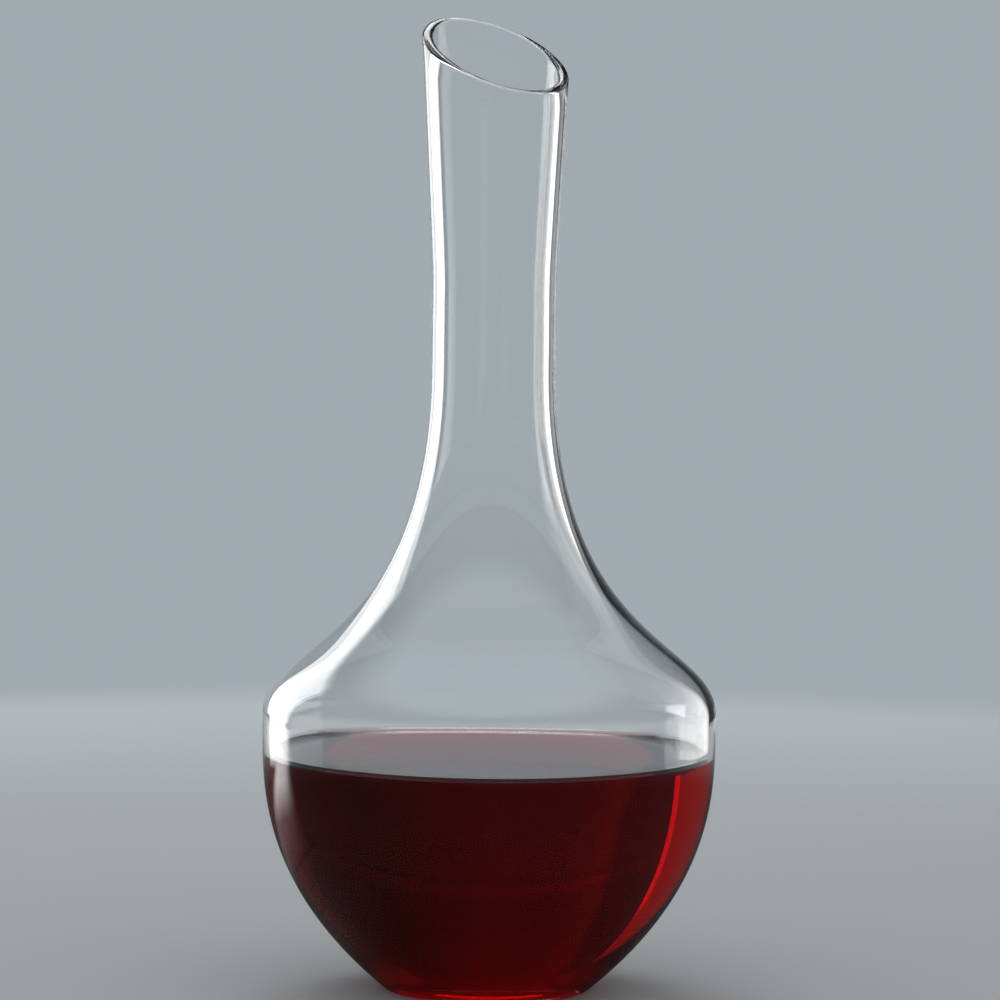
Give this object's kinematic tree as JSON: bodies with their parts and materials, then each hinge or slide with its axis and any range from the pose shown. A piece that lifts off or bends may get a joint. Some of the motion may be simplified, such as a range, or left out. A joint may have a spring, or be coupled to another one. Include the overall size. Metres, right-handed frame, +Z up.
{
  "type": "wine decanter",
  "caption": "Clear blown-glass decanter with a wide rounded bowl, slender flared neck and slanted mouth, part-filled with red wine.",
  "frame": {"origin": "middle of the standing ring, on the plane that the decanter stands on", "axes": "+Z up along the axis of the bowl and neck; the low side of the slanted rim faces -Y, the high side +Y"},
  "size_m": [0.1398, 0.1398, 0.2992],
  "materials": {
    "clear_glass": "clear, fire-polished, colourless crystal glass",
    "red_wine": "deep red wine, clear liquid with a still level surface"
  },
  "bodies": {
    "root": {"glass_vessel": "clear_glass", "red_wine": "red_wine"}
  },
  "joints": []
}
